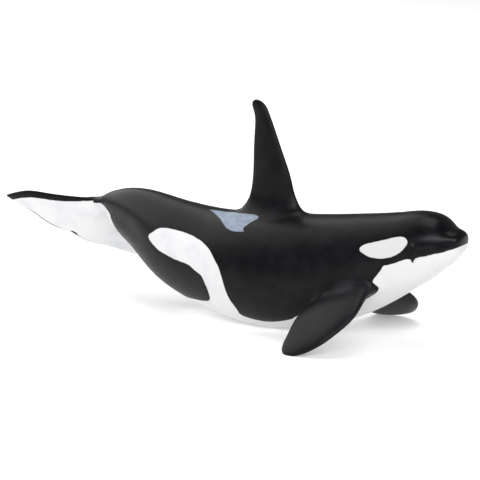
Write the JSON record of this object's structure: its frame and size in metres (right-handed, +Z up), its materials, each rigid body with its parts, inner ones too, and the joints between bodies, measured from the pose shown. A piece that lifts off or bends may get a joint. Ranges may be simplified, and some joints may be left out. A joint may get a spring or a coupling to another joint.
{
  "type": "toy orca figure",
  "caption": "Solid moulded plastic toy orca with painted black and white markings, tall dorsal fin, broad flippers and raised tail flukes, resting on belly and flippers.",
  "frame": {"origin": "centre of the figure's bounding box at the surface that it rests on", "axes": "+X from the tail to the snout, the longest extent; +Y to the animal's left; +Z up"},
  "size_m": [0.216, 0.089, 0.087],
  "materials": {
    "black_paint": "matte black hand paint on moulded plastic",
    "white_paint": "matte white hand paint on moulded plastic",
    "eye_gloss": "gloss dark paint dot"
  },
  "bodies": {
    "root": {"head": "black_paint", "lower_jaw": "white_paint", "torso": "black_paint", "tail_stock": "black_paint", "dorsal_fin": "black_paint", "flipper_right": "black_paint", "flipper_left": "black_paint", "fluke_right": "white_paint", "fluke_left": "white_paint", "eye_right": "eye_gloss", "eye_left": "eye_gloss"}
  },
  "joints": []
}
